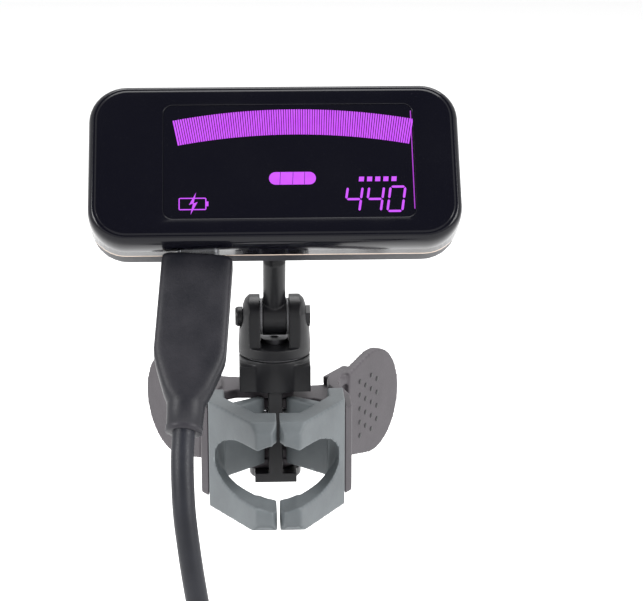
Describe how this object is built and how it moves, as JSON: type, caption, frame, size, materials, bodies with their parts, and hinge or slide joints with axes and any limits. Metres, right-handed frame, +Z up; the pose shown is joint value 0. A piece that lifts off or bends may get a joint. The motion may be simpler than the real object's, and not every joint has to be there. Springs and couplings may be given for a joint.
{
  "type": "clip-on tuner",
  "caption": "Clip-on tuner with a lit strobe display on a ball-jointed stem, a sprung clip with rubber jaw pads, and its charging lead plugged in.",
  "frame": {"origin": "middle of the round gap that the closed jaw tips grip, at the clip's front", "axes": "+Z up along the clip's pivot pin, +X to the right seen from the display's side, -Y out of the jaws towards the player"},
  "size_m": [0.0814, 0.1211, 0.1489],
  "materials": {
    "shell_gloss": "gloss",
    "shell_back": "satin",
    "lens": "gloss",
    "display": "gloss",
    "light_guide": "satin",
    "circuit_board": "satin",
    "bright_steel": "satin",
    "dark_steel": "satin",
    "cell_wrap": "satin",
    "brass": "satin",
    "button_rubber": "matte",
    "seal": "matte",
    "black_nylon": "satin",
    "washer_nylon": "matte",
    "lever_plastic": "matte",
    "pad_rubber": "matte",
    "plug_mould": "matte",
    "cord_jacket": "matte"
  },
  "bodies": {
    "core": {"pivot_core": "black_nylon", "pivot_pin": "bright_steel", "pin_clip": "bright_steel", "torsion_spring": "bright_steel", "swivel_screw": "dark_steel", "swivel_washer": "washer_nylon"},
    "left_jaw": {"left_lever": "lever_plastic", "left_pad": "pad_rubber"},
    "right_jaw": {"right_lever": "lever_plastic", "right_pad": "pad_rubber"},
    "swivel": {"clevis": "black_nylon", "hinge_bolt": "black_nylon", "hinge_nut": "black_nylon", "friction_washers": "washer_nylon"},
    "arm": {"stem": "black_nylon"},
    "cage": {"ball_cage": "black_nylon"},
    "head": {"front_shell": "shell_gloss", "window_lens": "lens", "lcd_module": "display", "backlight": "light_guide", "main_board": "circuit_board", "usb_socket": "bright_steel", "battery": "cell_wrap", "piezo_sensor": "brass", "rear_shell": "shell_back", "case_screws": "dark_steel", "button_switches": "bright_steel", "case_seal": "seal", "ball_socket": "shell_back", "socket_screws": "dark_steel"},
    "power_key": {"power_button": "button_rubber"},
    "mode_key": {"mode_button": "button_rubber"},
    "lead": {"usb_plug_body": "plug_mould", "usb_plug_shell": "bright_steel", "lead_run": "cord_jacket", "lead_coil": "cord_jacket", "lead_tail": "cord_jacket", "lead_tie": "plug_mould", "charger_plug_body": "plug_mould", "charger_plug_shell": "bright_steel"}
  },
  "joints": [
    {"name": "right_jaw_hinge", "type": "hinge", "parent": "core", "child": "right_jaw", "pos_m": [0, 0.031, 0], "axis": [0, 0, 1], "range_deg": [0, 20]},
    {"name": "left_jaw_hinge", "type": "hinge", "parent": "core", "child": "left_jaw", "pos_m": [0, 0.031, 0], "axis": [0, 0, 1], "range_deg": [-20, 0]},
    {"name": "neck_swivel", "type": "hinge", "parent": "core", "child": "swivel", "pos_m": [0, 0.031, 0.016], "axis": [0, 0, 1], "range_deg": [-60, 60]},
    {"name": "stem_tilt", "type": "hinge", "parent": "swivel", "child": "arm", "pos_m": [0, 0.031, 0.0237], "axis": [1, 0, 0], "range_deg": [-25, 4]},
    {"name": "head_tilt", "type": "hinge", "parent": "arm", "child": "cage", "pos_m": [0, 0.02402, 0.04436], "axis": [1, 0, 0], "range_deg": [-12, 6]},
    {"name": "head_roll", "type": "hinge", "parent": "cage", "child": "head", "pos_m": [0, 0.02402, 0.04436], "axis": [0, 0.8, -0.6], "range_deg": [-8, 8]},
    {"name": "power_press", "type": "slide", "parent": "head", "child": "power_key", "axis": [0, -0.8, 0.6], "range_m": [0, 0.0004], "stiffness_N_per_m": 900, "springref_m": -0.0002},
    {"name": "mode_press", "type": "slide", "parent": "head", "child": "mode_key", "axis": [0, -0.8, 0.6], "range_m": [0, 0.0004], "stiffness_N_per_m": 900, "springref_m": -0.0002},
    {"name": "plug_pull", "type": "slide", "parent": "head", "child": "lead", "axis": [-0.0785, -0.5982, -0.7975], "range_m": [0, 0.0072]}
  ],
  "couplings": [
    {"joint": "left_jaw_hinge", "follows": "right_jaw_hinge", "ratio": -1}
  ]
}
